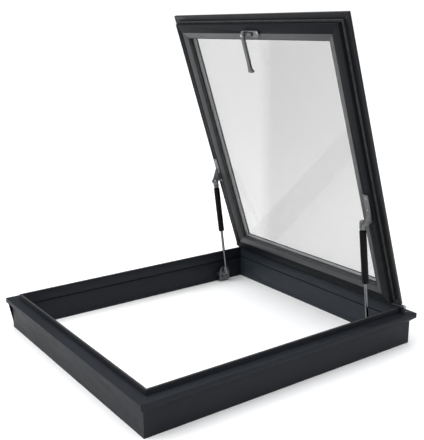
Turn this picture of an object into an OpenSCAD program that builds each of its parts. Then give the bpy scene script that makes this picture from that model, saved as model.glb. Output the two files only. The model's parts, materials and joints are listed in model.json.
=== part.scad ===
// Glazed roof access hatch: an insulated kerb frame, a double-glazed sash on a full-length
// hinge, two gas struts and a quarter-turn handle. The sash is drawn standing open.
// X runs along the hinge, the hinge is on +Y, Z is up, and the origin is under the kerb's centre.

/* [Kerb] */
// Width over the outer walls, along the hinge
kerb_w = 890; // [620:10:1300]
// Depth over the outer walls, from the free side to the hinge side
kerb_d = 1000; // [760:10:1400]
// Height of the metal kerb, to the top of its lip
kerb_h = 119; // [115:1:150]
// Thickness of the kerb wall
wall_t = 28; // [24:1:40]
// How far the drip nose stands out from the wall
nose_out = 15; // [8:1:24]
// Height of the drip nose's outer face
nose_face = 16; // [10:1:20]
// Height over which the nose's underside slopes back to the wall
nose_slope = 14; // [8:1:20]
// Height of the lip above the ledge
lip_h = 14; // [12:1:18]
// Thickness of the lip
lip_t = 8; // [6:0.5:10]
// Height of the shadow groove on the inner face
groove_z = 79; // [76:1:86]
// Wall of every hollow section
skin = 2.5; // [2:0.5:3]
// Height of the seal that stands on the lip
seal_h = 2.5; // [1.5:0.5:4]

/* [Lid] */
// How far the lid stands open
open_angle = 72; // [60:1:80]
// Gap between the sash and the kerb's inner face
sash_gap = 10; // [8:1:14]
// Width of the sash section
sash_t = 30; // [26:1:36]
// Depth of the sash section
sash_h = 40; // [38:1:46]
// Height from the sash's underside to the cap's underside
cap_rise = 19; // [16:1:24]
// How far the cap stands out past the sash
cap_out = 25; // [20:1:28]
// Thickness of the cap's outer edge
cap_edge = 11; // [8:1:14]
// Space left under the closed cap, above the kerb's seal
close_gap = 0.5; // [0.3:0.1:1]

/* [Glazing] */
// Thickness of each pane
pane_t = 6; // [4:1:8]
// Depth of the sealed cavity
cavity = 12; // [10:1:14]
// Height of the inner pane above the sash's underside
pane_rise = 17.5; // [15:0.5:20]
// Gap between the panes' edges and the sash
edge_gap = 6; // [4:1:8]
// Width of the glazing bead
bead_w = 20; // [16:1:22]
// How far the inner gasket shows past the bead
gasket_w = 2.5; // [2:0.5:4]

/* [Hinge] */
// Radius of the hinge barrel
barrel_r = 5.5; // [5:0.5:7]
// Radius of the hinge pin
pin_r = 2.5; // [2:0.5:3]
// Thickness of both hinge leaves
leaf_t = 2.5; // [2:0.5:3]
// How far the hinge stops short of the kerb's ends
hinge_inset = 5; // [4:1:20]
// Number of knuckles, an odd number
knuckles = 9; // [5:2:15]

/* [Struts] */
// Radius of the strut tube
tube_r = 11; // [9.5:0.5:11]
// Radius of the strut rod
rod_r = 5; // [4:0.5:5]
// Length of the strut tube
tube_len = 179; // [179:1:184]
// Distance from the kerb's inner face to the strut
strut_inset = 33; // [30:1:40]
// Distance from the hinge back to the strut's lower ball
strut_back = 102; // [96:1:108]
// Height of the strut's lower ball
strut_base_z = 42; // [38:1:46]
// Distance along the sash from the hinge to the strut's upper ball
strut_reach = 326; // [318:1:330]
// How far the upper ball hangs below the sash
strut_drop = 30; // [24:1:34]
// Radius of the balls
ball_r = 5; // [4:0.5:5.5]
// Thickness of the bracket plates
plate_t = 3; // [2.5:0.5:4]

/* [Handle] */
// Length of the handle's base plate
handle_len = 88; // [84:1:110]
// Distance from the middle of the lid to the middle of the base plate
handle_x = 14; // [10:1:20]
// Distance from the middle of the lid to the lever's spindle
spindle_x = -11; // [-14:1:-8]
// Length of the lever from its spindle
lever_len = 122; // [90:1:150]
// Reach of the catch from the spindle
catch_len = 39; // [36:1:40]

/* [Hidden] */

$fn = 48;

// clearances
run = 0.05;        // running fit, on the radius
slip = 0.2;        // loose fit of a cleat in its section
free = 0.3;        // between parts that pass each other
knuckle_gap = 0.4; // between neighbouring knuckles
end_room = 50;     // a strip is swept this much longer, and the mitre cuts it back

// kerb section
ledge_z = kerb_h - lip_h;
nose_low = ledge_z - nose_face;
wall_top = nose_low - nose_slope;
lip_in = wall_t - lip_t;
edge_cut = 1.5;
groove_h = 5;
groove_deep = 4;
chamber_gap = 3;

// kerb opening and sash
inner_w = kerb_w - 2 * wall_t;
inner_d = kerb_d - 2 * wall_t;
sash_w = inner_w - 2 * sash_gap;
sash_d = inner_d - 2 * sash_gap;
sash_z = kerb_h + seal_h + close_gap - cap_rise;

// hinge
barrel_lift = 1;
hinge_set = 5;
hinge_y = kerb_d / 2 - lip_in - hinge_set;
hinge_z = kerb_h + seal_h + barrel_lift + barrel_r;
hinge_len = kerb_w - 2 * hinge_inset;
knuckle_len = hinge_len / knuckles;
cap_back = hinge_y - barrel_r - 3;
foot_w = 17;

// glazing stack, measured inwards from the sash's outer face
pane_in = sash_t + edge_gap;
seal_w = 9;
spacer_w = 10;
bead_h = 13.5;
bead_edge = 5;
bead_flat = 2;
bead_round = 0.6;
gasket_tuck = 8;
gasket_low = 6;
outer_pad = 2;
cap_lip = 52;
cap_skin = 3;
pane_top = pane_rise + 2 * pane_t + cavity;
cap_top = pane_top + outer_pad + cap_skin;
weather_w = 7;
weather_h = 6;
block_len = 80;

// strut ends and travel
strut_x = kerb_w / 2 - wall_t - strut_inset;
strut_base_y = hinge_y - strut_back;
lid_ball_y = -strut_reach;
lid_ball_z = sash_z - strut_drop - hinge_z;
open_ball = [
    hinge_y + lid_ball_y * cos(open_angle) + lid_ball_z * sin(open_angle),
    hinge_z - lid_ball_y * sin(open_angle) + lid_ball_z * cos(open_angle)
];
strut_run = [open_ball[0] - strut_base_y, open_ball[1] - strut_base_z];
strut_len = norm(strut_run);
strut_lean = atan2(-strut_run[0], strut_run[1]);
socket_r = 9.5;
socket_ball_r = 9.5;
socket_len = 22;
rod_seat = 8;
tube_wall = 1.2;
tube_end = 6;
gland_len = 8;
piston_len = 4.5;
piston_lift = 0.5;
tube_top = strut_len - socket_len - 2;
tube_low = tube_top - tube_len;
piston_z = tube_low + gland_len + piston_lift;
stud_r = 3;
clip_wire_r = 0.8;
clip_drop = 13;
plate_x = 12;      // from the strut's axis to the face of each bracket plate
dome_r = 24;
dome_low = 10;
bracket_screw_y = 12;
bracket_screw_z = 26;
lid_foot_len = 84;
lid_foot_w = 20;
lid_plate_low = 8;

// screws
screw_r = 2;
screw_head_r = 4;
screw_head_h = 2;
hinge_screws = (knuckles + 1) / 2;
hinge_screw_pitch = 2 * knuckle_len;
leaf_low = 4;
leaf_screw_z = 9;

// kerb fixing holes, for the screws that hold it to the roof
fix_r = 3.25;
fix_z = 18;
fix_x = 280;
fix_y = 300;

// handle, in the closed sash's place; the lever turns on the spindle
plate_h = 4;
base_w = 22;
base_screw_in = 6;
base_screw_off = 4;
hub_r = 9;
lever_w = 13;
lever_t = 8;
lever_foot = 24;
foot_len = 20;
lever_curl = 3;
curl_len = 30;
catch_w = 12;
catch_t = 6;
hub_h = lever_t + catch_t;
spindle_r = 3;
spindle_y = -sash_d / 2 + 31;
keeper_w = 44;
keeper_out = 14;
keeper_t = 3;
keeper_drop = 18;

// ---- shared shapes ----

// One side of a rectangular frame: 0 front, 1 right, 2 rear, 3 left. The child is drawn
// along X with its outer edge on y = 0 and the frame's middle towards +Y.
module on_side(side, w, d) {
    rotate([0, 0, 90 * side]) translate([0, -(side % 2 == 0 ? d : w) / 2, 0]) children();
}

// Sweeps a section along X and mitres both ends. The section's x is the distance
// inwards from the frame's outer edge, and its y is the height.
module mitred(span, from, to, low, high) {
    intersection() {
        translate([-span / 2 - end_room, 0, 0])
            rotate([90, 0, 90]) linear_extrude(span + 2 * end_room) children();
        translate([0, 0, low]) linear_extrude(high - low) polygon([
            [-(span / 2 - from), from], [span / 2 - from, from],
            [span / 2 - to, to], [-(span / 2 - to), to]
        ]);
    }
}

function side_span(side, w, d) = side % 2 == 0 ? w : d;

// A rectangular ring between two distances inwards from a w by d outline
module ring(w, d, from, to, low, high) {
    translate([0, 0, low]) linear_extrude(high - low) difference() {
        square([w - 2 * from, d - 2 * from], center = true);
        square([w - 2 * to, d - 2 * to], center = true);
    }
}

// Places children of the closed lid where the open lid holds them
module on_lid() {
    translate([0, hinge_y, hinge_z]) rotate([-open_angle, 0, 0])
        translate([0, -hinge_y, -hinge_z]) children();
}

// Origin at the lower ball, Z along the open strut
module on_strut(side) {
    translate([side * strut_x, strut_base_y, strut_base_z]) rotate([strut_lean, 0, 0]) children();
}

module screw(shank) {
    translate([0, 0, -shank]) cylinder(r = screw_r, h = shank + screw_head_h / 2);
    cylinder(r1 = screw_head_r, r2 = screw_head_r - 1, h = screw_head_h);
}

module screw_hole(deep) {
    translate([0, 0, -deep]) cylinder(r = screw_r + run, h = deep + 1);
}

module hinge_kerb_screws() {
    for (i = [0 : hinge_screws - 1])
        translate([
            (i - (hinge_screws - 1) / 2) * hinge_screw_pitch,
            kerb_d / 2 - lip_in + foot_w / 2 + leaf_t / 2, ledge_z + leaf_t
        ]) children();
}

module hinge_lid_screws() {
    for (i = [0 : hinge_screws - 1])
        translate([
            (i - (hinge_screws - 1) / 2) * hinge_screw_pitch, sash_d / 2 + leaf_t, sash_z + leaf_screw_z
        ]) rotate([-90, 0, 0]) children();
}

module kerb_bracket_screws(side) {
    for (dy = [-bracket_screw_y, bracket_screw_y])
        translate([side * (inner_w / 2 - plate_t), strut_base_y + dy, bracket_screw_z])
            rotate([0, -90 * side, 0]) children();
}

module keeper_screws() {
    for (dx = [-keeper_w / 2 + 10, keeper_w / 2 - 10])
        translate([spindle_x + dx, -inner_d / 2 + keeper_t, keeper_top() - 12])
            rotate([-90, 0, 0]) children();
}

module lid_bracket_screws(side) {
    for (u = [30, lid_foot_len - 12])
        translate([side * (strut_x + plate_x - 7), hinge_y - strut_reach - u, sash_z - plate_t])
            rotate([180, 0, 0]) children();
}

module handle_screws() {
    for (dx = [-handle_len / 2 + base_screw_in, handle_len / 2 - base_screw_in])
        translate([handle_x + dx, spindle_y - base_screw_off, sash_z - plate_h])
            rotate([180, 0, 0]) children();
}

function keeper_top() = sash_z - close_gap;

// ---- kerb ----

module kerb_section() {
    difference() {
        polygon([
            [0, 0], [wall_t, 0], [wall_t, groove_z], [wall_t - groove_deep, groove_z],
            [wall_t - groove_deep, groove_z + groove_h], [wall_t, groove_z + groove_h],
            [wall_t, kerb_h], [lip_in, kerb_h], [lip_in, ledge_z],
            [-nose_out + edge_cut, ledge_z], [-nose_out, ledge_z - edge_cut],
            [-nose_out, nose_low], [0, wall_top]
        ]);
        translate([skin, skin]) square([wall_t - 2 * skin, wall_top - skin - chamber_gap]);
        polygon([
            [wall_t - skin - groove_deep, wall_top + skin],
            [wall_t - skin - groove_deep, ledge_z - skin],
            [-nose_out + skin, ledge_z - skin], [-nose_out + skin, nose_low + skin / 2],
            [skin / 2, wall_top + skin]
        ]);
    }
}

module kerb_rail(side) {
    on_side(side, kerb_w, kerb_d)
        mitred(side_span(side, kerb_w, kerb_d), -nose_out, wall_t, 0, kerb_h) kerb_section();
}

// holes for the screws that hold the kerb to the roof, through the inner skin
module fixing_holes(side) {
    reach = side % 2 == 0 ? fix_x : fix_y;
    on_side(side, inner_w, inner_d)
        for (dx = [-reach, reach])
            translate([dx, 1, fix_z]) rotate([90, 0, 0]) cylinder(r = fix_r, h = skin + 2);
}

module kerb_front_rail() color([0.18, 0.19, 0.2]) difference() {
    kerb_rail(0);
    fixing_holes(0);
    keeper_screws() screw_hole(keeper_t + skin + 1);
}

module kerb_right_rail() color([0.15, 0.16, 0.17]) difference() {
    kerb_rail(1);
    fixing_holes(1);
    kerb_bracket_screws(1) screw_hole(plate_t + skin + 1);
}

module kerb_rear_rail() color([0.17, 0.18, 0.2]) difference() {
    kerb_rail(2);
    fixing_holes(2);
    hinge_kerb_screws() screw_hole(leaf_t + skin + 1);
}

module kerb_left_rail() color([0.15, 0.16, 0.17]) difference() {
    kerb_rail(3);
    fixing_holes(3);
    kerb_bracket_screws(-1) screw_hole(plate_t + skin + 1);
}

// An L-shaped cleat joins two hollow rails at a corner
module cleat(leg, band, high) {
    linear_extrude(high) difference() {
        square([leg, leg]);
        translate([band, band]) square([leg, leg]);
    }
}

module corner_cleats(w, d, inset, leg, band, high, low) {
    for (sx = [0, 1], sy = [0, 1])
        mirror([sx, 0, 0]) mirror([0, sy, 0])
            translate([-w / 2 + inset, -d / 2 + inset, low]) cleat(leg, band, high);
}

module kerb_corner_cleats() color("silver")
    corner_cleats(kerb_w, kerb_d, skin + slip, 70, wall_t - 2 * (skin + slip), 50, skin);

module kerb_lip_seal() color([0.06, 0.06, 0.06])
    ring(kerb_w, kerb_d, lip_in + 1, wall_t - 1, kerb_h, kerb_h + seal_h);

module hinge_knuckle(k) {
    translate([-hinge_len / 2 + k * knuckle_len + knuckle_gap / 2, hinge_y, hinge_z])
        rotate([0, 90, 0]) cylinder(r = barrel_r, h = knuckle_len - knuckle_gap);
}

module hinge_bore() {
    translate([-hinge_len / 2 - 1, hinge_y, hinge_z])
        rotate([0, 90, 0]) cylinder(r = pin_r + run, h = hinge_len + 2);
}

module hinge_kerb_leaf() color([0.2, 0.21, 0.22]) {
    back = kerb_d / 2 - lip_in;
    difference() {
        union() {
            translate([-hinge_len / 2, back, ledge_z])
                cube([hinge_len, leaf_t, hinge_z - ledge_z - barrel_r]);
            translate([-hinge_len / 2, back, ledge_z]) cube([hinge_len, foot_w, leaf_t]);
            for (k = [0 : 2 : knuckles - 1]) {
                hinge_knuckle(k);
                translate([-hinge_len / 2 + k * knuckle_len + knuckle_gap / 2, hinge_y + pin_r + 1,
                           hinge_z - barrel_r])
                    cube([knuckle_len - knuckle_gap, back + leaf_t - hinge_y - pin_r - 1, barrel_r]);
            }
        }
        hinge_bore();
        hinge_kerb_screws() screw_hole(leaf_t + 1);
    }
}

module hinge_pin() color("silver") {
    translate([-hinge_len / 2 - 1, hinge_y, hinge_z]) rotate([0, 90, 0])
        cylinder(r = pin_r, h = hinge_len + 2);
    for (s = [-1, 1])
        translate([s * (hinge_len / 2 + 1), hinge_y, hinge_z]) rotate([0, 90 * s, 0]) {
            cylinder(r = barrel_r, h = 4);
            translate([0, 0, 4]) cylinder(r1 = barrel_r, r2 = barrel_r - 2, h = 2);
        }
}

module kerb_screws() color("silver") {
    hinge_kerb_screws() screw(leaf_t + skin);
    for (side = [-1, 1]) kerb_bracket_screws(side) screw(plate_t + skin);
    keeper_screws() screw(keeper_t + skin);
}

module keeper() color("silver") difference() {
    union() {
        translate([spindle_x - keeper_w / 2, -inner_d / 2, keeper_top() - keeper_t])
            cube([keeper_w, keeper_out, keeper_t]);
        translate([spindle_x - keeper_w / 2, -inner_d / 2, keeper_top() - keeper_drop])
            cube([keeper_w, keeper_t, keeper_drop]);
    }
    keeper_screws() screw_hole(keeper_t + 1);
    // room for the catch under the hook
    translate([spindle_x - catch_w / 2 - 2, -inner_d / 2 - 1, sash_z - plate_h - free - catch_t - 1])
        cube([catch_w + 4, keeper_t + 2, keeper_top() - keeper_t - sash_z + plate_h + free + catch_t + 1]);
}

module kerb_bracket(side) {
    x0 = plate_x;
    x1 = strut_inset;
    translate([side * strut_x, strut_base_y, 0]) mirror([side < 0 ? 1 : 0, 0, 0]) {
        difference() {
            union() {
                translate([x0, 0, strut_base_z - dome_low + 8]) rotate([0, 90, 0])
                    cylinder(r = dome_r, h = plate_t);
                translate([x0, -dome_r, dome_low])
                    cube([plate_t, 2 * dome_r, strut_base_z - 2 * dome_low + 8]);
            }
            translate([x0 - 1, -dome_r - 1, dome_low - 2 * dome_r])
                cube([plate_t + 2, 2 * dome_r + 2, 2 * dome_r]);
            translate([x0 - 1, 0, strut_base_z]) rotate([0, 90, 0])
                cylinder(r = stud_r + run, h = plate_t + 2);
            for (dy = [-bracket_screw_y, bracket_screw_y])
                translate([x0 - 1, dy, bracket_screw_z]) rotate([0, 90, 0])
                    cylinder(r = screw_head_r + 0.5, h = plate_t + 2);
        }
        translate([x0, -dome_r, dome_low - plate_t]) cube([x1 - x0, 2 * dome_r, plate_t]);
        difference() {
            translate([x1 - plate_t, -dome_r, dome_low]) cube([plate_t, 2 * dome_r, 26]);
            for (dy = [-bracket_screw_y, bracket_screw_y])
                translate([x1 - plate_t - 1, dy, bracket_screw_z]) rotate([0, 90, 0])
                    cylinder(r = screw_r + run, h = plate_t + 2);
        }
    }
}

module strut_bracket_kerb_right() color("silver") kerb_bracket(1);

module strut_bracket_kerb_left() color("silver") kerb_bracket(-1);

module kerb_ball_studs() color("silver")
    for (side = [-1, 1])
        translate([side * strut_x, strut_base_y, strut_base_z]) rotate([0, 90 * side, 0]) {
            sphere(r = ball_r);
            cylinder(r = stud_r, h = plate_x + plate_t + 0.5);
            translate([0, 0, plate_x + plate_t]) cylinder(r1 = stud_r + 1.5, r2 = stud_r, h = 2);
        }

// ---- lid ----

module sash_rail(side) {
    on_side(side, sash_w, sash_d) translate([0, 0, sash_z])
        mitred(side_span(side, sash_w, sash_d), 0, sash_t, 0, sash_h) difference() {
            polygon([
                [edge_cut, 0], [sash_t, 0], [sash_t, sash_h], [0, sash_h], [0, edge_cut]
            ]);
            translate([skin, skin]) square([sash_t - 2 * skin, sash_h - 2 * skin]);
        }
}

module sash_front_rail() color([0.2, 0.2, 0.21]) on_lid() difference() {
    sash_rail(0);
    handle_screws() screw_hole(plate_h + skin + 1);
}

module sash_right_rail() color([0.2, 0.2, 0.21]) on_lid() difference() {
    sash_rail(1);
    lid_bracket_screws(1) screw_hole(plate_t + skin + 1);
}

module sash_rear_rail() color([0.2, 0.2, 0.21]) on_lid() difference() {
    sash_rail(2);
    hinge_lid_screws() screw_hole(leaf_t + skin + 1);
}

module sash_left_rail() color([0.2, 0.2, 0.21]) on_lid() difference() {
    sash_rail(3);
    lid_bracket_screws(-1) screw_hole(plate_t + skin + 1);
}

module sash_corner_cleats() color("silver") on_lid()
    corner_cleats(sash_w, sash_d, skin + slip, 60, sash_t - 2 * (skin + slip), 28, sash_z + skin);

// The cap clips over the sash, sheds water past the kerb's lip and holds the glass down
module cap_rail(side) {
    intersection() {
        on_side(side, sash_w, sash_d) translate([0, 0, sash_z])
            mitred(side_span(side, sash_w, sash_d), -cap_out, cap_lip, cap_rise, cap_top)
            difference() {
                polygon([
                    [0, cap_rise], [0, sash_h], [sash_t, sash_h], [sash_t, cap_top - cap_skin],
                    [cap_lip, cap_top - cap_skin], [cap_lip, cap_top], [0, cap_top],
                    [-cap_out + 1, cap_rise + cap_edge], [-cap_out, cap_rise + cap_edge - 1],
                    [-cap_out, cap_rise + 1], [-cap_out + 1, cap_rise]
                ]);
                polygon([
                    [-skin, cap_rise + skin], [-skin, pane_top - skin],
                    [-cap_out + 1 + skin, cap_rise + cap_edge - skin],
                    [-cap_out + 1 + skin, cap_rise + skin]
                ]);
            }
        translate([-kerb_w, -kerb_d, 0]) cube([2 * kerb_w, kerb_d + cap_back, 2 * kerb_h]);
    }
}

module cap_front_rail() color([0.16, 0.17, 0.18]) on_lid() cap_rail(0);

module cap_right_rail() color([0.16, 0.17, 0.18]) on_lid() cap_rail(1);

module cap_rear_rail() color([0.16, 0.17, 0.18]) on_lid() cap_rail(2);

module cap_left_rail() color([0.16, 0.17, 0.18]) on_lid() cap_rail(3);

module bead(side) {
    on_side(side, sash_w, sash_d) translate([0, 0, sash_z])
        mitred(side_span(side, sash_w, sash_d), sash_t, sash_t + bead_w, 0, bead_h)
        polygon([
            [sash_t, bead_round], [sash_t + bead_round, 0], [sash_t + bead_flat, 0],
            [sash_t + bead_w, bead_edge], [sash_t + bead_w, bead_h], [sash_t, bead_h]
        ]);
}

module bead_front() color([0.45, 0.46, 0.47]) on_lid() bead(0);

module bead_right() color([0.45, 0.46, 0.47]) on_lid() bead(1);

module bead_rear() color([0.45, 0.46, 0.47]) on_lid() bead(2);

module bead_left() color([0.45, 0.46, 0.47]) on_lid() bead(3);

module pane(low) {
    translate([-sash_w / 2 + pane_in, -sash_d / 2 + pane_in, sash_z + low])
        cube([sash_w - 2 * pane_in, sash_d - 2 * pane_in, pane_t]);
}

module inner_pane() color([0.8, 0.85, 0.88, 0.4]) on_lid() pane(pane_rise);

module outer_pane() color([0.8, 0.85, 0.88, 0.4]) on_lid() pane(pane_rise + pane_t + cavity);

module spacer_bar() color("silver") on_lid()
    ring(sash_w, sash_d, pane_in + seal_w, pane_in + seal_w + spacer_w,
         sash_z + pane_rise + pane_t, sash_z + pane_rise + pane_t + cavity);

module edge_sealant() color([0.05, 0.05, 0.05]) on_lid()
    ring(sash_w, sash_d, pane_in, pane_in + seal_w,
         sash_z + pane_rise + pane_t, sash_z + pane_rise + pane_t + cavity);

module inner_gasket() color([0.06, 0.06, 0.06]) on_lid() {
    ring(sash_w, sash_d, sash_t + bead_w - gasket_tuck, sash_t + bead_w + gasket_w,
         sash_z + bead_h, sash_z + pane_rise);
    ring(sash_w, sash_d, sash_t + bead_w, sash_t + bead_w + gasket_w,
         sash_z + gasket_low, sash_z + bead_h);
}

module outer_gasket() color([0.06, 0.06, 0.06]) on_lid()
    ring(sash_w, sash_d, cap_lip - gasket_tuck, cap_lip,
         sash_z + pane_top, sash_z + pane_top + outer_pad);

module setting_blocks() color([0.1, 0.1, 0.1]) on_lid()
    for (sx = [-1, 1], sy = [-1, 1])
        translate([
            sx * sash_w / 4 - block_len / 2, sy * (sash_d / 2 - sash_t - edge_gap / 2) - edge_gap / 2,
            sash_z + pane_rise
        ]) cube([block_len, edge_gap, sash_h - pane_rise]);

module lid_weather_seal() color([0.06, 0.06, 0.06]) on_lid() difference() {
    ring(sash_w, sash_d, -weather_w, 0, sash_z + cap_rise - weather_h, sash_z + cap_rise);
    translate([-kerb_w / 2, sash_d / 2 - weather_w, 0]) cube([kerb_w, 3 * weather_w, 2 * kerb_h]);
}

module hinge_lid_leaf() color([0.2, 0.21, 0.22]) on_lid() difference() {
    union() {
        translate([-sash_w / 2 + 6, sash_d / 2, sash_z + leaf_low])
            cube([sash_w - 12, leaf_t, cap_rise - leaf_low - 4]);
        for (k = [1 : 2 : knuckles - 2]) {
            hinge_knuckle(k);
            translate([-hinge_len / 2 + k * knuckle_len + knuckle_gap / 2, 0, 0])
                rotate([90, 0, 90]) linear_extrude(knuckle_len - knuckle_gap) polygon([
                    [sash_d / 2, sash_z + cap_rise - 4], [sash_d / 2, sash_z + cap_rise - 7],
                    [sash_d / 2 + leaf_t, sash_z + cap_rise - 7],
                    [hinge_y - barrel_r + 1, hinge_z - barrel_r + 0.8],
                    [hinge_y - pin_r - 1, hinge_z - pin_r], [hinge_y - pin_r - 1, hinge_z],
                    [hinge_y - barrel_r + 0.7, hinge_z - 1],
                    [cap_back - 0.2, sash_z + cap_rise - 0.4]
                ]);
        }
    }
    hinge_bore();
    hinge_lid_screws() screw_hole(leaf_t + 1);
}

module lid_screws() color("silver") on_lid() {
    hinge_lid_screws() screw(leaf_t + skin);
    for (side = [-1, 1]) lid_bracket_screws(side) screw(plate_t + skin);
    handle_screws() screw(plate_h + skin);
}

// Foot on the sash's underside, and a web that faces the strut's upper ball
module lid_bracket(side) {
    ball_z = sash_z - strut_drop;
    translate([side * strut_x, hinge_y - strut_reach, 0]) mirror([side < 0 ? 1 : 0, 0, 0]) {
        difference() {
            translate([plate_x + plate_t - lid_foot_w, -lid_foot_len, sash_z - plate_t])
                cube([lid_foot_w, lid_foot_len + 8, plate_t]);
            for (u = [30, lid_foot_len - 12])
                translate([plate_x - 7, -u, sash_z - plate_t - 1])
                    cylinder(r = screw_r + run, h = plate_t + 2);
        }
        translate([plate_x, 0, 0]) rotate([90, 0, 90]) linear_extrude(plate_t) union() {
            polygon([
                [8, sash_z - plate_t], [-46, sash_z - plate_t], [-8, ball_z - 1], [8, ball_z - 1]
            ]);
            translate([0, ball_z]) circle(r = lid_plate_low);
        }
        translate([plate_x + plate_t, 0, ball_z]) rotate([0, 90, 0]) cylinder(r = 4.5, h = 1.5);
    }
}

module strut_bracket_lid_right() color("silver") on_lid() lid_bracket(1);

module strut_bracket_lid_left() color("silver") on_lid() lid_bracket(-1);

// ---- handle ----

module handle_base() color("silver") on_lid() difference() {
    hull() for (dx = [-handle_len / 2 + base_w / 2, handle_len / 2 - base_w / 2])
        translate([handle_x + dx, spindle_y, sash_z - plate_h])
            cylinder(r = base_w / 2, h = plate_h, $fn = 32);
    handle_screws() screw_hole(plate_h + 1);
    translate([spindle_x, spindle_y, sash_z - plate_h - 1]) cylinder(r = spindle_r + run, h = plate_h + 2);
}

module handle_spindle() color("silver") on_lid() translate([spindle_x, spindle_y, sash_z]) {
    mirror([0, 0, 1]) cylinder(r = spindle_r, h = plate_h + free + hub_h + free);
    translate([0, 0, -plate_h - free - hub_h - free - 2])
        cylinder(r1 = spindle_r + 1, r2 = spindle_r + 2, h = 2);
}

// Outline of the lever, with a foot at its tip for the fingers
module lever_outline() {
    edge = lever_w / 2;
    out = lever_foot - edge;
    polygon([
        [-edge, 0], [edge, 0], [edge, lever_len - foot_len],
        [edge + 0.08 * out, lever_len - 0.65 * foot_len], [edge + 0.28 * out, lever_len - 0.42 * foot_len],
        [edge + 0.55 * out, lever_len - 0.28 * foot_len], [out - 0.5, lever_len - 0.2 * foot_len],
        [out, lever_len - 0.08 * foot_len], [out - 2, lever_len],
        [-edge + 4, lever_len], [-edge + 1.2, lever_len - 2], [-edge, lever_len - 5]
    ]);
}

// The lever points away from the free edge while it is unlocked
module handle_lever() color([0.55, 0.56, 0.57]) on_lid()
    translate([spindle_x, spindle_y, sash_z - plate_h - free - hub_h]) difference() {
        union() {
            cylinder(r = hub_r, h = hub_h);
            intersection() {
                translate([0, 0, -lever_curl]) linear_extrude(lever_t + lever_curl) lever_outline();
                translate([-lever_foot, 0, 0]) rotate([90, 0, 90]) linear_extrude(2 * lever_foot) polygon([
                    [0, 0], [0, lever_t], [lever_len - curl_len, lever_t],
                    [lever_len - curl_len / 2, lever_t - lever_curl / 4],
                    [lever_len, lever_t - lever_curl], [lever_len, -lever_curl],
                    [lever_len - curl_len / 2, -lever_curl / 4], [lever_len - curl_len, 0]
                ]);
            }
            translate([0, -catch_w / 2, hub_h - catch_t]) cube([catch_len - 2, catch_w, catch_t]);
            translate([catch_len - 2, -catch_w / 2 + 2, hub_h - catch_t]) cube([2, catch_w - 4, catch_t]);
        }
        translate([0, 0, -1]) cylinder(r = spindle_r + run, h = hub_h + 2);
    }

// ---- struts ----

module socket(side) {
    difference() {
        union() {
            sphere(r = socket_ball_r);
            cylinder(r = socket_r, h = socket_len);
        }
        sphere(r = ball_r + run);
        rotate([0, 90 * side, 0]) cylinder(r = ball_r + run, h = socket_ball_r + 2);
        translate([0, 0, rod_seat]) cylinder(r = rod_r + run, h = socket_len);
    }
}

module strut_rod(side) color("silver") on_strut(side)
    translate([0, 0, rod_seat]) cylinder(r = rod_r, h = piston_z + piston_len - rod_seat);

module strut_piston(side) color("silver") on_strut(side) translate([0, 0, piston_z]) difference() {
    cylinder(r = tube_r - tube_wall - run, h = piston_len);
    translate([0, 0, -1]) cylinder(r = rod_r + run, h = piston_len + 2);
}

module strut_rod_socket(side) color("silver") on_strut(side) socket(side);

module strut_tube(side) color([0.08, 0.08, 0.08]) on_strut(side) difference() {
    union() {
        translate([0, 0, tube_low]) cylinder(r = tube_r, h = tube_len - 2);
        translate([0, 0, tube_top - 2]) cylinder(r1 = tube_r, r2 = tube_r - 2, h = 2);
        translate([0, 0, tube_top]) cylinder(r = rod_r, h = socket_len - rod_seat);
    }
    translate([0, 0, tube_low - 1]) cylinder(r = tube_r - tube_wall, h = tube_len - tube_end + 1);
}

module strut_gland(side) color([0.1, 0.1, 0.1]) on_strut(side) translate([0, 0, tube_low]) difference() {
    cylinder(r = tube_r - tube_wall - run, h = gland_len);
    translate([0, 0, -1]) cylinder(r = rod_r + run, h = gland_len + 2);
}

module strut_tube_socket(side) color("silver") on_strut(side)
    translate([0, 0, strut_len]) rotate([180, 0, 0]) socket(side);

// The upper stud rides with the strut and stops just short of the lid's bracket
module strut_lid_stud(side) color("silver") on_strut(side) translate([0, 0, strut_len])
    rotate([0, 90 * side, 0]) {
        sphere(r = ball_r);
        cylinder(r = stud_r, h = plate_x - free);
    }

module strut_clip(side) color([0.15, 0.15, 0.15]) on_strut(side)
    translate([0, 0, strut_len - clip_drop]) rotate_extrude()
        translate([socket_r + clip_wire_r + run, 0]) circle(r = clip_wire_r, $fn = 16);

module strut_right_rod() strut_rod(1);
module strut_right_piston() strut_piston(1);
module strut_right_rod_socket() strut_rod_socket(1);
module strut_right_tube() strut_tube(1);
module strut_right_gland() strut_gland(1);
module strut_right_tube_socket() strut_tube_socket(1);
module strut_right_lid_stud() strut_lid_stud(1);
module strut_right_clip() strut_clip(1);

module strut_left_rod() strut_rod(-1);
module strut_left_piston() strut_piston(-1);
module strut_left_rod_socket() strut_rod_socket(-1);
module strut_left_tube() strut_tube(-1);
module strut_left_gland() strut_gland(-1);
module strut_left_tube_socket() strut_tube_socket(-1);
module strut_left_lid_stud() strut_lid_stud(-1);
module strut_left_clip() strut_clip(-1);

kerb_front_rail();
kerb_right_rail();
kerb_rear_rail();
kerb_left_rail();
kerb_corner_cleats();
kerb_lip_seal();
hinge_kerb_leaf();
hinge_pin();
kerb_screws();
keeper();
strut_bracket_kerb_right();
strut_bracket_kerb_left();
kerb_ball_studs();
sash_front_rail();
sash_right_rail();
sash_rear_rail();
sash_left_rail();
sash_corner_cleats();
cap_front_rail();
cap_right_rail();
cap_rear_rail();
cap_left_rail();
bead_front();
bead_right();
bead_rear();
bead_left();
inner_pane();
outer_pane();
spacer_bar();
edge_sealant();
inner_gasket();
outer_gasket();
setting_blocks();
lid_weather_seal();
hinge_lid_leaf();
lid_screws();
strut_bracket_lid_right();
strut_bracket_lid_left();
handle_base();
handle_spindle();
handle_lever();
strut_right_rod();
strut_right_piston();
strut_right_rod_socket();
strut_right_tube();
strut_right_gland();
strut_right_tube_socket();
strut_right_lid_stud();
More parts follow.
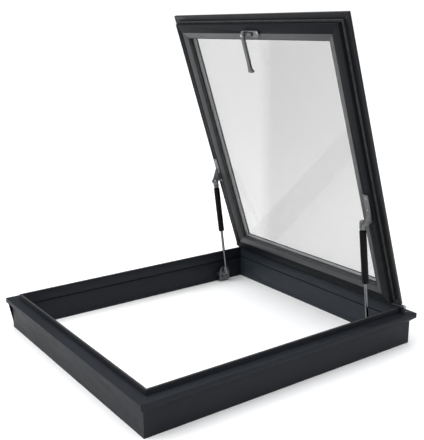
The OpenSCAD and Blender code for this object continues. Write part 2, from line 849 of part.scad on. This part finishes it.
strut_right_clip();
strut_left_rod();
strut_left_piston();
strut_left_rod_socket();
strut_left_tube();
strut_left_gland();
strut_left_tube_socket();
strut_left_lid_stud();
strut_left_clip();
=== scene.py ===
import bmesh
import bpy
import json
import math
from mathutils import Matrix, Vector


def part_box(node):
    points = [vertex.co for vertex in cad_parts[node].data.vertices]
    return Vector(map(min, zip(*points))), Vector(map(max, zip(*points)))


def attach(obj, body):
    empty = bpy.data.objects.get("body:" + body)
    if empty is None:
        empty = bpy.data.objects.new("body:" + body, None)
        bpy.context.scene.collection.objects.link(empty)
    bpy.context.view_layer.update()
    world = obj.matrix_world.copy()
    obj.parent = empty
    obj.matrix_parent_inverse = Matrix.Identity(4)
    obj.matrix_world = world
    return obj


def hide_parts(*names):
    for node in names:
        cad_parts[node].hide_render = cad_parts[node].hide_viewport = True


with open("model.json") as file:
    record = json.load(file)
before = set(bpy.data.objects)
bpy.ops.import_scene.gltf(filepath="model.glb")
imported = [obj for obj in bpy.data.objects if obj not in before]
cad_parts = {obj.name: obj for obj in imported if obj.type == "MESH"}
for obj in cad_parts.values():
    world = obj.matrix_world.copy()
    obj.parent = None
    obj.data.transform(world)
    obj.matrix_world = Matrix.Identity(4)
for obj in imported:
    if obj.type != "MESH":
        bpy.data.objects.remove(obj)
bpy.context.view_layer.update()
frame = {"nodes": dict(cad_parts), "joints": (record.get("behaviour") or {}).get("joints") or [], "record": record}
mm = 0.001


# shader tree helpers

class Wire:
    # a socket that takes part in arithmetic by adding Math nodes
    def __init__(self, tree, socket):
        self.tree, self.socket = tree, socket

    def math(self, operation, first, second):
        return self.tree.add("ShaderNodeMath", {"operation": operation}, {0: first, 1: second})

    def __add__(self, other):
        return self.math("ADD", self, other)

    def __sub__(self, other):
        return self.math("SUBTRACT", self, other)

    def __mul__(self, other):
        return self.math("MULTIPLY", self, other)

    def __truediv__(self, other):
        return self.math("DIVIDE", self, other)

    def __pow__(self, other):
        return self.math("POWER", self, other)

    def __rsub__(self, other):
        return self.math("SUBTRACT", other, self)

    __radd__, __rmul__ = __add__, __mul__


class Tree:
    def __init__(self, owner):
        owner.use_nodes = True
        self.nodes, self.links = owner.node_tree.nodes, owner.node_tree.links
        self.nodes.clear()

    def add(self, kind, settings=None, inputs=None, out=0):
        # settings come first, because they decide which sockets there are
        node = self.nodes.new(kind)
        for key, value in (settings or {}).items():
            if key == "stops":
                ramp = node.color_ramp
                while len(ramp.elements) < len(value):
                    ramp.elements.new(0.5)
                for element, (place, colour) in zip(ramp.elements, value):
                    element.position, element.color = place, colour
            else:
                setattr(node, key, value)
        for key, value in (inputs or {}).items():
            if isinstance(value, Wire):
                self.links.new(value.socket, node.inputs[key])
            else:
                node.inputs[key].default_value = value
        return Wire(self, node.outputs[out]) if len(node.outputs) else None

    def place(self, scale=(1, 1, 1)):
        spot = self.add("ShaderNodeTexCoord", out="Object")
        return self.add("ShaderNodeMapping", {}, {"Vector": spot, "Scale": scale})

    def noise(self, scale, detail=3.0, rough=0.55, stretch=(1, 1, 1)):
        return self.add("ShaderNodeTexNoise", {}, {
            "Vector": self.place(stretch), "Scale": scale, "Detail": detail, "Roughness": rough})

    def blend(self, mask, dark, light):
        return self.add("ShaderNodeMix", {"data_type": "RGBA"}, {0: mask, 6: dark, 7: light}, out=2)

    def spread(self, value, low, high, newLow=0.0, newHigh=1.0):
        return self.add("ShaderNodeMapRange", {"clamp": True}, {
            0: value, 1: low, 2: high, 3: newLow, 4: newHigh})

    def bump(self, height, strength, distance):
        return self.add("ShaderNodeBump", {}, {
            "Strength": strength, "Distance": distance, "Height": height})

    def finish(self, shader):
        self.add("ShaderNodeOutputMaterial", {}, {"Surface": shader})


def newMaterial(name):
    material = bpy.data.materials.new(name)
    return material, Tree(material)


def tint(colour, factor):
    return tuple(min(c * factor, 1.0) for c in colour[:3]) + (1.0,)


# finishes

def powderCoat(name, colour, rough=0.44, grain=1.0, specular=0.2):
    # satin polyester coat: orange peel, a fine sand grain and a little unevenness
    material, tree = newMaterial(name)
    drift = tree.noise(3.5, 2.0)
    cloud = tree.noise(38.0, 4.0, 0.6)
    sand = tree.noise(2600.0, 2.0, 0.7)
    peel = tree.noise(420.0, 2.0)
    wiped = tree.noise(9.0, 3.0, 0.6, (1, 1, 6))
    patches = tree.spread(drift * 0.55 + cloud * 0.45, 0.35, 0.65)
    base = tree.blend(patches, tint(colour, 0.86), tint(colour, 1.14))
    base = tree.blend(tree.spread(sand, 0.55, 0.8, 0.0, 0.3), base, tint(colour, 1.4))
    height = peel * 0.7 + sand * 0.5
    tree.finish(tree.add("ShaderNodeBsdfPrincipled", {}, {
        "Base Color": base,
        "Roughness": tree.spread(wiped * 0.6 + cloud * 0.4, 0.3, 0.7, rough - 0.07, rough + 0.08),
        "Specular IOR Level": specular,
        "Normal": tree.bump(height, 0.2 * grain, 0.00012)}))
    return material


def rubber(name, colour, rough=0.72):
    # extruded seal rubber: faint lines along its length and a dusty bloom
    material, tree = newMaterial(name)
    bloom = tree.noise(60.0, 4.0, 0.65)
    pores = tree.noise(1500.0, 2.0)
    base = tree.blend(tree.spread(bloom, 0.4, 0.7), tint(colour, 0.8), tint(colour, 1.5))
    tree.finish(tree.add("ShaderNodeBsdfPrincipled", {}, {
        "Base Color": base, "Roughness": tree.spread(bloom, 0.3, 0.7, rough - 0.08, rough + 0.1),
        "Specular IOR Level": 0.3, "Normal": tree.bump(pores, 0.3, 0.0002)}))
    return material


def platedSteel(name, colour, rough=0.3, stretch=(1, 1, 1), scratch=0.25):
    # zinc or nickel plate over pressed steel
    material, tree = newMaterial(name)
    spangle = tree.add("ShaderNodeTexVoronoi", {"feature": "F1"}, {
        "Vector": tree.place(), "Scale": 240.0, "Randomness": 1.0}, out=1)
    spangleTone = tree.add("ShaderNodeRGBToBW", {}, {0: spangle})
    haze = tree.noise(70.0, 4.0, 0.6)
    lines = tree.noise(900.0, 3.0, 0.6, stretch)
    tone = tree.spread(haze * 0.6 + spangleTone * 0.15 + lines * 0.25, 0.3, 0.72)
    tree.finish(tree.add("ShaderNodeBsdfPrincipled", {}, {
        "Base Color": tree.blend(tone, tint(colour, 0.8), tint(colour, 1.12)), "Metallic": 1.0,
        "Roughness": tree.spread(haze * 0.5 + lines * 0.5, 0.3, 0.7, rough - 0.08, rough + 0.12),
        "Normal": tree.bump(lines * 0.7 + haze * 0.3, scratch, 0.0001)}))
    return material


def paintedTube(name, colour):
    material, tree = newMaterial(name)
    flow = tree.noise(220.0, 3.0)
    handling = tree.noise(34.0, 4.0, 0.65)
    tree.finish(tree.add("ShaderNodeBsdfPrincipled", {}, {
        "Base Color": tree.blend(tree.spread(handling, 0.35, 0.7), tint(colour, 0.85), tint(colour, 1.5)),
        "Roughness": tree.spread(handling, 0.35, 0.7, 0.27, 0.42),
        "Specular IOR Level": 0.1,
        "Normal": tree.bump(flow, 0.12, 0.0002)}))
    return material


def hardChrome(name, colour):
    material, tree = newMaterial(name)
    oil = tree.noise(55.0, 4.0, 0.6)
    grinding = tree.noise(1400.0, 2.0, 0.6, (1, 1, 0.2))
    tree.finish(tree.add("ShaderNodeBsdfPrincipled", {}, {
        "Base Color": tree.blend(tree.spread(oil, 0.4, 0.65), tint(colour, 0.9), tint(colour, 1.05)),
        "Metallic": 1.0, "Roughness": tree.spread(oil * 0.6 + grinding * 0.4, 0.35, 0.65, 0.07, 0.2),
        "Normal": tree.bump(grinding, 0.06, 0.00005)}))
    return material


def paneGlass(name, colour):
    # float glass whose colour is a shade greyer past a slanting line, a painted reflection; lamps shine through it
    slant, start = 0.38, 0.38
    material, tree = newMaterial(name)
    sideways = tree.add("ShaderNodeSeparateXYZ", {}, {0: tree.place()}, out="X")
    height = tree.add("ShaderNodeSeparateXYZ", {}, {0: tree.place()}, out="Z")
    past = sideways - height * slant + start
    # painted reflection: a slanting band where the glass colour turns greyer
    paintedReflection = tree.spread(past, 0.03, 0.10) - tree.spread(past, 0.14, 0.5, 0.0, 0.5)
    smear = tree.noise(6.0, 4.0, 0.7, (1, 1, 3))
    specks = tree.noise(700.0, 2.0)
    clean = tree.spread(smear * 0.85 + specks * 0.15, 0.5, 0.75, 0.0, 0.035)
    glass = tree.add("ShaderNodeBsdfPrincipled", {}, {
        "Base Color": tree.blend(paintedReflection, tint(colour, 1.0), tint(colour, 0.915)), "Roughness": clean,
        "IOR": 1.16, "Transmission Weight": 1.0})
    lampSide = tree.add("ShaderNodeBsdfTransparent", {}, {"Color": (0.93, 0.95, 0.95, 1)})
    lamp = tree.add("ShaderNodeLightPath", out="Is Shadow Ray")
    tree.finish(tree.add("ShaderNodeMixShader", {}, {0: lamp, 1: glass, 2: lampSide}))
    return material


def spacerMetal(name, colour):
    # the spacer's inner face has two rows of tiny breather holes, drawn as dark dots of painted shade
    material, tree = newMaterial(name)
    grain = tree.noise(500.0, 3.0, 0.6)
    dots = tree.add("ShaderNodeTexVoronoi", {"feature": "F1"}, {
        "Vector": tree.place((0.35, 0.35, 0.35)), "Scale": 700.0, "Randomness": 0.1})
    # painted shade: the dots are darkened where the holes' insides would be shaded
    holeShade = tree.spread(dots, 0.1, 0.22, 1.0, 0.0)
    tree.finish(tree.add("ShaderNodeBsdfPrincipled", {}, {
        "Base Color": tree.blend(holeShade * 0.6, tint(colour, 1.0), tint(colour, 0.3)),
        "Metallic": 0.6, "Roughness": tree.spread(grain, 0.3, 0.7, 0.4, 0.55),
        "Normal": tree.bump(grain, 0.15, 0.0001)}))
    return material


def mouldedPlastic(name, colour):
    material, tree = newMaterial(name)
    grain = tree.noise(1100.0, 2.0)
    tree.finish(tree.add("ShaderNodeBsdfPrincipled", {}, {
        "Base Color": tree.blend(tree.spread(grain, 0.4, 0.65), tint(colour, 0.85), tint(colour, 1.3)),
        "Roughness": tree.spread(grain, 0.3, 0.7, 0.5, 0.62), "Normal": tree.bump(grain, 0.2, 0.0001)}))
    return material


finishes = {
    "kerb_coat": powderCoat("kerbCoat", (0.0125, 0.0145, 0.0185), 0.46, 1.0, 0.12),
    # painted shade: the sash and cap coats are darker copies of the kerb coat, standing in for the shade the lid's
    # frame is in
    "sash_coat": powderCoat("sashCoat", (0.0062, 0.0072, 0.0092), 0.44, 1.0, 0.08),
    "cap_coat": powderCoat("capCoat", (0.0095, 0.0108, 0.0132), 0.42),
    "bead_coat": powderCoat("beadCoat", (0.055, 0.057, 0.059), 0.38, 0.8, 0.35),
    "hinge_coat": powderCoat("hingeCoat", (0.062, 0.068, 0.078), 0.4),
    "mill_aluminium": spacerMetal("spacerMetal", (0.30, 0.31, 0.32)),
    "plated_steel": platedSteel("platedSteel", (0.165, 0.17, 0.175), 0.4),
    "bright_steel": platedSteel("brightSteel", (0.42, 0.43, 0.44), 0.28),
    "handle_metal": platedSteel("handleMetal", (0.125, 0.13, 0.135), 0.36, (1, 1, 0.15), 0.3),
    "strut_black": paintedTube("strutPaint", (0.0022, 0.0022, 0.0024)),
    "strut_dark": mouldedPlastic("strutDark", (0.03, 0.03, 0.032)),
    "rod_chrome": hardChrome("rodChrome", (0.16, 0.165, 0.175)),
    "glazing": paneGlass("paneGlass", (0.789, 0.787, 0.783, 1)),
    "gasket": rubber("sealRubber", (0.036, 0.036, 0.037)),
    "block": mouldedPlastic("blockPlastic", (0.02, 0.02, 0.022)),
}
# painted light: the hinge side's rail gets a bluer, lighter copy of the kerb coat, standing in for the light its
# inner face catches
rearPaintedLightCoat = powderCoat("kerbRearCoat", (0.024, 0.030, 0.037), 0.44, 1.0, 0.16)
slotOf = {part["node"]: part["material_slot"] for part in frame["record"]["subparts"]}
bodyOf = {node: body for body, nodes in frame["record"]["behaviour"]["bodies"].items() for node in nodes}
for node, piece in frame["nodes"].items():
    for materialSlot in piece.material_slots:
        materialSlot.material = finishes[slotOf[node]]
print("finishes ready")


# modelling helpers

def only(piece):
    if bpy.context.object and bpy.context.object.mode != "OBJECT":
        bpy.ops.object.mode_set(mode="OBJECT")
    bpy.ops.object.select_all(action="DESELECT")
    piece.select_set(True)
    bpy.context.view_layer.objects.active = piece


def modify(piece, kind, **settings):
    only(piece)
    bpy.ops.object.modifier_add(type=kind)
    modifier = piece.modifiers[-1]
    for key, value in settings.items():
        setattr(modifier, key, value)
    bpy.ops.object.modifier_apply(modifier=modifier.name)


def settle(piece, angle=30):
    # the piece's place goes into its mesh
    only(piece)
    bpy.ops.object.transform_apply(location=True, rotation=True, scale=True)
    bpy.ops.object.shade_smooth_by_angle(angle=math.radians(angle))


def fit(piece, name, node, slot=None, replaced=()):
    piece.name = piece.data.name = name
    piece.data.materials.clear()
    piece.data.materials.append(finishes[slot or slotOf[node]])
    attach(piece, bodyOf[node])
    if replaced:
        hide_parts(*replaced)
    return piece


def softened(node, name, width, segments=2, angle=30):
    # a copy of the CAD part with its sharp edges eased, as an extrusion or pressing has
    piece = bpy.data.objects.new(name, frame["nodes"][node].data.copy())
    bpy.context.scene.collection.objects.link(piece)
    only(piece)
    bpy.ops.object.mode_set(mode="EDIT")
    bpy.ops.mesh.select_all(action="SELECT")
    bpy.ops.mesh.remove_doubles(threshold=0.01 * mm)
    bpy.ops.mesh.dissolve_limited(angle_limit=math.radians(0.4))
    bpy.ops.object.mode_set(mode="OBJECT")
    modify(piece, "BEVEL", width=width, segments=segments, limit_method="ANGLE",
           angle_limit=math.radians(angle), miter_outer="MITER_ARC")
    only(piece)
    bpy.ops.object.shade_smooth_by_angle(angle=math.radians(28))
    return fit(piece, name, node, replaced=(node,))


def turned(name, profile, sides=40):
    # a disc is extruded and resized ring by ring, like work on a lathe
    (radius, height), rest = profile[0], profile[1:]
    bpy.ops.object.select_all(action="DESELECT")
    bpy.ops.mesh.primitive_circle_add(vertices=sides, radius=radius, fill_type="NGON",
                                      location=(0, 0, 0))
    piece = bpy.context.object
    piece.name = name
    bpy.ops.object.mode_set(mode="EDIT")
    bpy.ops.mesh.select_all(action="SELECT")
    bpy.ops.transform.translate(value=(0, 0, height))
    for nextRadius, nextHeight in rest:
        bpy.ops.mesh.extrude_region_move(
            TRANSFORM_OT_translate={"value": (0, 0, nextHeight - height)})
        factor = nextRadius / radius
        bpy.ops.transform.resize(value=(factor, factor, 1), center_override=(0, 0, nextHeight))
        radius, height = nextRadius, nextHeight
    bpy.ops.mesh.select_all(action="SELECT")
    bpy.ops.mesh.normals_make_consistent(inside=False)
    bpy.ops.object.mode_set(mode="OBJECT")
    return piece


def joined(pieces):
    bpy.ops.object.select_all(action="DESELECT")
    for piece in pieces:
        piece.select_set(True)
    bpy.context.view_layer.objects.active = pieces[0]
    bpy.ops.object.join()
    return pieces[0]


def copied(piece, matrix):
    twin = piece.copy()
    twin.data = piece.data.copy()
    bpy.context.scene.collection.objects.link(twin)
    twin.data.transform(matrix)
    return twin


def carve(piece, cutter):
    modify(piece, "BOOLEAN", operation="DIFFERENCE", object=cutter, solver="EXACT")
    bpy.data.objects.remove(cutter)


def reach(node, base, axis):
    spots = [(vertex.co - base).dot(axis) for vertex in frame["nodes"][node].data.vertices]
    return min(spots), max(spots)


def aim(spot, axis, spin=0.0):
    # stands a piece that was made along Z on a spot, pointing along an axis
    facing = Vector(axis).to_track_quat("Z", "Y").to_matrix().to_4x4()
    return Matrix.Translation(spot) @ facing @ Matrix.Rotation(spin, 4, "Z")


# camera and light

view = {
    "place": (1.88995, -1.31655, 1.00340), "yaw": 54.542, "down": 14.714, "roll": -0.215,
    "lens": 735.34 / 440 * 36,
}
turn, dip, roll = (math.radians(view[key]) for key in ("yaw", "down", "roll"))
ahead = Vector((-math.sin(turn) * math.cos(dip), math.cos(turn) * math.cos(dip), -math.sin(dip)))
level = Vector((math.cos(turn), math.sin(turn), 0))
upright = level.cross(ahead)
across = math.cos(roll) * level + math.sin(roll) * upright
upward = math.cos(roll) * upright - math.sin(roll) * level
bpy.ops.object.camera_add()
camera = bpy.context.object
camera.data.lens, camera.data.sensor_width = view["lens"], 36
camera.matrix_world = Matrix.Translation(view["place"]) @ Matrix((
    (across.x, upward.x, -ahead.x, 0), (across.y, upward.y, -ahead.y, 0),
    (across.z, upward.z, -ahead.z, 0), (0, 0, 0, 1)))
bpy.context.scene.camera = camera

light = {
    "sky": 2.1, "rim": 0.1, "backdrop": 1.04, "floor": 0.95,
    "key": 80.0, "keyPlace": (-0.84, -2.5, 3.3), "keySize": 3.4,
}
world = bpy.data.worlds.new("studio")
bpy.context.scene.world = world
sky = Tree(world)
skyUp = sky.add("ShaderNodeSeparateXYZ", {}, {0: sky.add("ShaderNodeTexCoord", out="Generated")}, out="Z")
skyGlow = sky.spread(skyUp, 0.4, 0.85, light["rim"], light["sky"])
skyShade = sky.add("ShaderNodeBackground", {}, {"Color": (0.985, 0.99, 1, 1), "Strength": skyGlow})
skyPlain = sky.add("ShaderNodeBackground", {}, {"Color": (1, 1, 1, 1), "Strength": light["backdrop"]})
seen = sky.add("ShaderNodeLightPath", out="Is Camera Ray") + sky.add(
    "ShaderNodeLightPath", out="Is Transmission Ray")
sky.add("ShaderNodeOutputWorld", {}, {
    "Surface": sky.add("ShaderNodeMixShader", {}, {0: seen, 1: skyShade, 2: skyPlain})})


def softLamp(name, power, place, size):
    bpy.ops.object.light_add(type="AREA", location=place)
    lamp = bpy.context.object
    lamp.name = name
    lamp.data.energy, lamp.data.size, lamp.data.shape = power, size, "SQUARE"
    lamp.rotation_euler = (Vector((0, 0, 0.3)) - Vector(place)).to_track_quat("-Z", "Y").to_euler()


softLamp("keyLamp", light["key"], light["keyPlace"], light["keySize"])

bpy.ops.mesh.primitive_plane_add(size=160, location=(0, 0, 0))
ground = bpy.context.object
ground.name = "floor"
groundPaint, tree = newMaterial("floorPaint")
dust = tree.noise(1.3, 3.0)
tree.finish(tree.add("ShaderNodeBsdfPrincipled", {}, {
    "Base Color": tree.blend(dust, tint((1, 1, 1), light["floor"] - 0.01), tint((1, 1, 1), light["floor"])),
    "Roughness": 0.9, "Specular IOR Level": 0.1}))
ground.data.materials.append(groundPaint)
print("camera, light and floor ready")


# frames, cap and beads: eased extrusions
easing = {
    "kerb": 0.7 * mm, "sash": 0.5 * mm, "cap": 0.7 * mm, "bead": 0.3 * mm,
    "hinge": 0.3 * mm, "seal": 1.0 * mm, "pane": 0.6 * mm, "plate": 0.6 * mm, "grip": 1.3 * mm,
}
sides = {"front": "Front", "right": "Right", "rear": "Rear", "left": "Left"}
for side, word in sides.items():
    kerbRail = softened(f"kerb_{side}_rail", "kerbRail" + word, easing["kerb"])
    if side == "rear":
        # painted light: the rear rail takes the lighter, bluer copy of the kerb coat
        kerbRail.data.materials[0] = rearPaintedLightCoat
    softened(f"sash_{side}_rail", "sashRail" + word, easing["sash"])
    softened(f"cap_{side}_rail", "capRail" + word, easing["cap"])
    softened(f"bead_{side}", "bead" + word, easing["bead"])
softened("kerb_lip_seal", "lipSeal", easing["seal"], 3)
softened("lid_weather_seal", "weatherSeal", easing["seal"], 3)
softened("inner_gasket", "innerGasket", easing["hinge"])
softened("hinge_kerb_leaf", "hingeKerbLeaf", easing["hinge"])
softened("hinge_lid_leaf", "hingeLidLeaf", easing["hinge"])
softened("inner_pane", "innerPane", easing["pane"], 1)
softened("outer_pane", "outerPane", easing["pane"], 1)
softened("keeper", "keeperPlate", easing["hinge"])
for side in ("right", "left"):
    softened(f"strut_bracket_kerb_{side}", "kerbBracket" + sides[side], easing["plate"])
    softened(f"strut_bracket_lid_{side}", "lidBracket" + sides[side], easing["plate"])
softened("handle_base", "handleBase", easing["plate"], 3)
softened("handle_lever", "handleLever", easing["grip"], 3)
print("extrusions and pressings ready")


# screws: one is turned and slotted, then copied to where the CAD has each one
screw = {
    "rise": 2 * mm, "crossLong": 4.6 * mm, "crossWide": 0.95 * mm, "crossDeep": 1.15 * mm, "turn": 37,
    "profile": [(2, -2.4), (2, 0), (4, 0), (4, 0.45), (3.8, 0.95), (3.3, 1.4), (2.4, 1.78), (1.2, 1.97),
                (0.5, 2)],
    "same": 0.01 * mm, "endBand": 0.1 * mm,
}


def screwSeats(node):
    # the widest flat direction is a screw's axis, and its head is at the wider end
    work = bmesh.new()
    work.from_mesh(frame["nodes"][node].data)
    bmesh.ops.remove_doubles(work, verts=work.verts, dist=screw["same"])
    work.verts.index_update()
    work.faces.index_update()
    seats, done = [], set()
    for start in work.verts:
        if start.index in done:
            continue
        group, queue = [], [start]
        done.add(start.index)
        while queue:
            vert = queue.pop()
            group.append(vert)
            for edge in vert.link_edges:
                other = edge.other_vert(vert)
                if other.index not in done:
                    done.add(other.index)
                    queue.append(other)
        areas = {}
        for face in sorted({face.index: face for vert in group for face in vert.link_faces}.items()):
            key = tuple(round(abs(c), 3) for c in face[1].normal)
            areas[key] = areas.get(key, 0) + face[1].calc_area()
        flat = max(areas, key=areas.get)
        axis = next(face.normal.copy() for vert in group for face in vert.link_faces
                    if tuple(round(abs(c), 3) for c in face.normal) == flat)
        centre = sum((vert.co for vert in group), Vector()) / len(group)
        heights = [(vert.co - centre).dot(axis) for vert in group]
        radii = [((vert.co - centre) - axis * height).length for vert, height in zip(group, heights)]
        ends = [max(radius for radius, height in zip(radii, heights) if abs(height - end) < screw["endBand"])
                for end in (min(heights), max(heights))]
        if ends[0] > ends[1]:
            axis, heights = -axis, [-height for height in heights]
        seats.append((centre + axis * (max(heights) - screw["rise"]), axis))
    work.free()
    return seats


pattern = turned("screw", [(radius * mm, height * mm) for radius, height in screw["profile"]], 32)
for angle in (0, math.pi / 2):
    bpy.ops.object.select_all(action="DESELECT")
    bpy.ops.mesh.primitive_cube_add(size=1, location=(0, 0, screw["rise"]), rotation=(0, 0, angle), scale=(
        screw["crossLong"], screw["crossWide"], 2 * screw["crossDeep"]))
    carve(pattern, bpy.context.object)
for node, name in (("kerb_screws", "kerbScrews"), ("lid_screws", "lidScrews")):
    copies = [copied(pattern, aim(spot, axis, math.radians(screw["turn"] * i)))
              for i, (spot, axis) in enumerate(screwSeats(node))]
    print(node, len(copies))
    screws = joined(copies)
    settle(screws)
    fit(screws, name, node, replaced=(node,))
bpy.data.objects.remove(pattern)

# hinge pin with a rounded button at each end
pin = {"end": [(1.2, 0), (3.4, 0.35), (4.8, 1.1), (5.5, 2.3), (5.5, 6), (2.5, 6)]}
pinLow, pinHigh = (Vector(corner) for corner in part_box("hinge_pin"))
half = (pinHigh.x - pinLow.x) / 2
profile = [(radius * mm, height * mm - half) for radius, height in pin["end"]]
profile += [(radius * mm, half - height * mm) for radius, height in reversed(pin["end"])]
hingePin = turned("hingePin", profile)
hingePin.data.transform(aim((pinLow + pinHigh) / 2, (1, 0, 0)))
settle(hingePin)
fit(hingePin, "hingePin", "hinge_pin", replaced=("hinge_pin",))

# the lever's spindle ends in a slotted rivet head
spindle = {
    "shaft": 3 * mm, "head": 5 * mm, "rise": 2 * mm, "slotLong": 12 * mm, "slotWide": 1.1 * mm,
    "slotDeep": 0.9 * mm, "spin": 0.4, "dome": [(5, 0.5), (4.7, 1.1), (3.9, 1.6), (2.6, 1.9), (1, 2)],
}
joints = {joint["name"]: joint for joint in frame["joints"]}
spindleSpot = Vector(joints["handle_turn"]["pos_m"])
spindleAxis = Vector(joints["handle_turn"]["axis"]).normalized()
low, high = reach("handle_spindle", spindleSpot, spindleAxis)
headLow = high - spindle["rise"]
profile = [(spindle["shaft"], low), (spindle["shaft"], headLow), (spindle["head"], headLow)]
profile += [(radius * mm, headLow + height * mm) for radius, height in spindle["dome"]]
rivet = turned("handleSpindle", profile)
bpy.ops.object.select_all(action="DESELECT")
bpy.ops.mesh.primitive_cube_add(size=1, location=(0, 0, high), scale=(
    spindle["slotLong"], spindle["slotWide"], 2 * spindle["slotDeep"]))
carve(rivet, bpy.context.object)
rivet.data.transform(aim(spindleSpot, spindleAxis, spindle["spin"]))
settle(rivet)
fit(rivet, "handleSpindle", "handle_spindle", replaced=("handle_spindle",))
print("screws, pin and spindle ready")


# gas struts
strut = {
    "sides": 48, "rollAt": 12 * mm, "rollDeep": 0.55 * mm, "rollWide": 3 * mm,
    "socketBall": 9.5 * mm, "neck": 9.5 * mm, "socketLong": 22 * mm, "boltHole": 5.05 * mm,
    "boltDeep": 12 * mm, "boltAt": 8 * mm, "wire": 0.75 * mm, "clipAt": 13 * mm, "endGap": 2 * mm,
    "wiper": [(5.15, -1.1), (6.4, -1.0), (7.2, -0.3), (7.2, 0.6), (5.2, 0.7)],
}


def strutFrame(side):
    base = Vector(joints[f"strut_{side}_swing"]["pos_m"])
    axis = Vector(joints[f"strut_{side}_slide"]["axis"])
    lean = math.atan2(-axis.y, axis.z)
    return base, axis, Matrix.Translation(base) @ Matrix.Rotation(lean, 4, "X")


def socketPiece(name, outward):
    # ball socket: a round head, a neck with a clip groove, and an open side for the stud
    ball, neck, long = strut["socketBall"], strut["neck"], strut["socketLong"]
    steps = [math.radians(-90 + 9 * i) for i in range(1, 11)]
    profile = [(ball * math.cos(a), ball * math.sin(a)) for a in steps]
    profile += [(neck, 11.4 * mm), (neck - 0.6 * mm, 11.9 * mm), (neck - 0.6 * mm, 14.1 * mm),
                (neck, 14.6 * mm), (neck, long - 1 * mm), (neck - 1 * mm, long)]
    piece = turned(name, profile, strut["sides"])
    bpy.ops.mesh.primitive_cylinder_add(vertices=40, radius=strut["boltHole"], depth=strut["boltDeep"],
                                        location=(outward * strut["boltAt"], 0, 0),
                                        rotation=(0, math.pi / 2, 0))
    carve(piece, bpy.context.object)
    return piece


def wirePiece(name, points, radius):
    # sprung wire: a round-sectioned curve made into a mesh
    bpy.ops.object.select_all(action="DESELECT")
    curve = bpy.data.curves.new(name, "CURVE")
    curve.dimensions, curve.bevel_depth, curve.bevel_resolution = "3D", radius, 3
    curve.use_fill_caps = True
    spline = curve.splines.new("NURBS")
    spline.points.add(len(points) - 1)
    for spot, point in zip(spline.points, points):
        spot.co = (*point, 1)
    spline.use_endpoint_u, spline.order_u, spline.resolution_u = True, 3, 6
    piece = bpy.data.objects.new(name, curve)
    bpy.context.scene.collection.objects.link(piece)
    only(piece)
    bpy.ops.object.convert(target="MESH")
    return bpy.context.object


for side, outward in (("right", 1), ("left", -1)):
    base, axis, stand = strutFrame(side)
    low, high = reach(f"strut_{side}_tube", base, axis)
    top = reach(f"strut_{side}_tube_socket", base, axis)[1] - strut["socketBall"]
    shoulder = top - strut["socketLong"] - strut["endGap"]
    wide = frame["nodes"][f"strut_{side}_tube"].dimensions.x / 2
    roll0, deep = low + strut["rollAt"], strut["rollDeep"]
    profile = [
        (5.2 * mm, low + 0.4 * mm), (8.4 * mm, low), (wide - 0.6 * mm, low + 0.8 * mm),
        (wide, low + 2.2 * mm), (wide, roll0), (wide - deep, roll0 + 0.9 * mm),
        (wide - deep, roll0 + 2.1 * mm), (wide, roll0 + strut["rollWide"]), (wide, shoulder - 3.4 * mm),
        (wide - 0.7 * mm, shoulder - 1.5 * mm), (wide - 2.2 * mm, shoulder - 0.3 * mm),
        (7 * mm, shoulder), (5 * mm, shoulder + 0.2 * mm), (5 * mm, shoulder + 11 * mm)]
    tube = turned(f"strutTube{sides[side]}", profile, strut["sides"])
    tube.data.transform(stand)
    settle(tube)
    fit(tube, f"strutTube{sides[side]}", f"strut_{side}_tube", replaced=(f"strut_{side}_tube",))
    for end, flip, at in (("rod", 0, 0), ("tube", math.pi, top)):
        socket = socketPiece("socket", outward)
        socket.data.transform(stand @ Matrix.Translation((0, 0, at)) @ Matrix.Rotation(flip, 4, "X"))
        settle(socket)
        fit(socket, f"{end}Socket{sides[side]}", f"strut_{side}_{end}_socket",
            replaced=(f"strut_{side}_{end}_socket",))
    # the clip's wire runs round the neck and over the head, and its ends lock the stud
    neckR, headR = strut["neck"] + strut["wire"], strut["socketBall"] + strut["wire"]
    loop = [(-outward * neckR * math.cos(a), neckR * math.sin(a), -strut["clipAt"])
            for a in (math.radians(x) for x in (90, 60, 30, 0, -30, -60, -90))]
    rise = [(0.3 * outward * neckR, -neckR, -9 * mm), (0.45 * outward * headR, -headR * 0.9, -4 * mm),
            (0.5 * outward * headR, -headR * 0.86, 0), (0.5 * outward * headR, -headR * 0.5, 6.4 * mm)]
    fall = [(x, -y, z) for x, y, z in reversed(rise)]
    wire = wirePiece("clipWire", fall + loop + rise, strut["wire"])
    wire.data.transform(stand @ Matrix.Translation((0, 0, top)))
    settle(wire)
    fit(wire, f"clipWire{sides[side]}", f"strut_{side}_clip", replaced=(f"strut_{side}_clip",))
    # wiper seal where the rod leaves the tube
    wiper = turned("wiper", [(radius * mm, low + height * mm) for radius, height in strut["wiper"]], 32)
    wiper.data.transform(stand)
    settle(wiper)
    fit(wiper, f"rodWiper{sides[side]}", f"strut_{side}_tube", "strut_dark")
print("struts ready")

bpy.context.scene.view_settings.view_transform = "Standard"
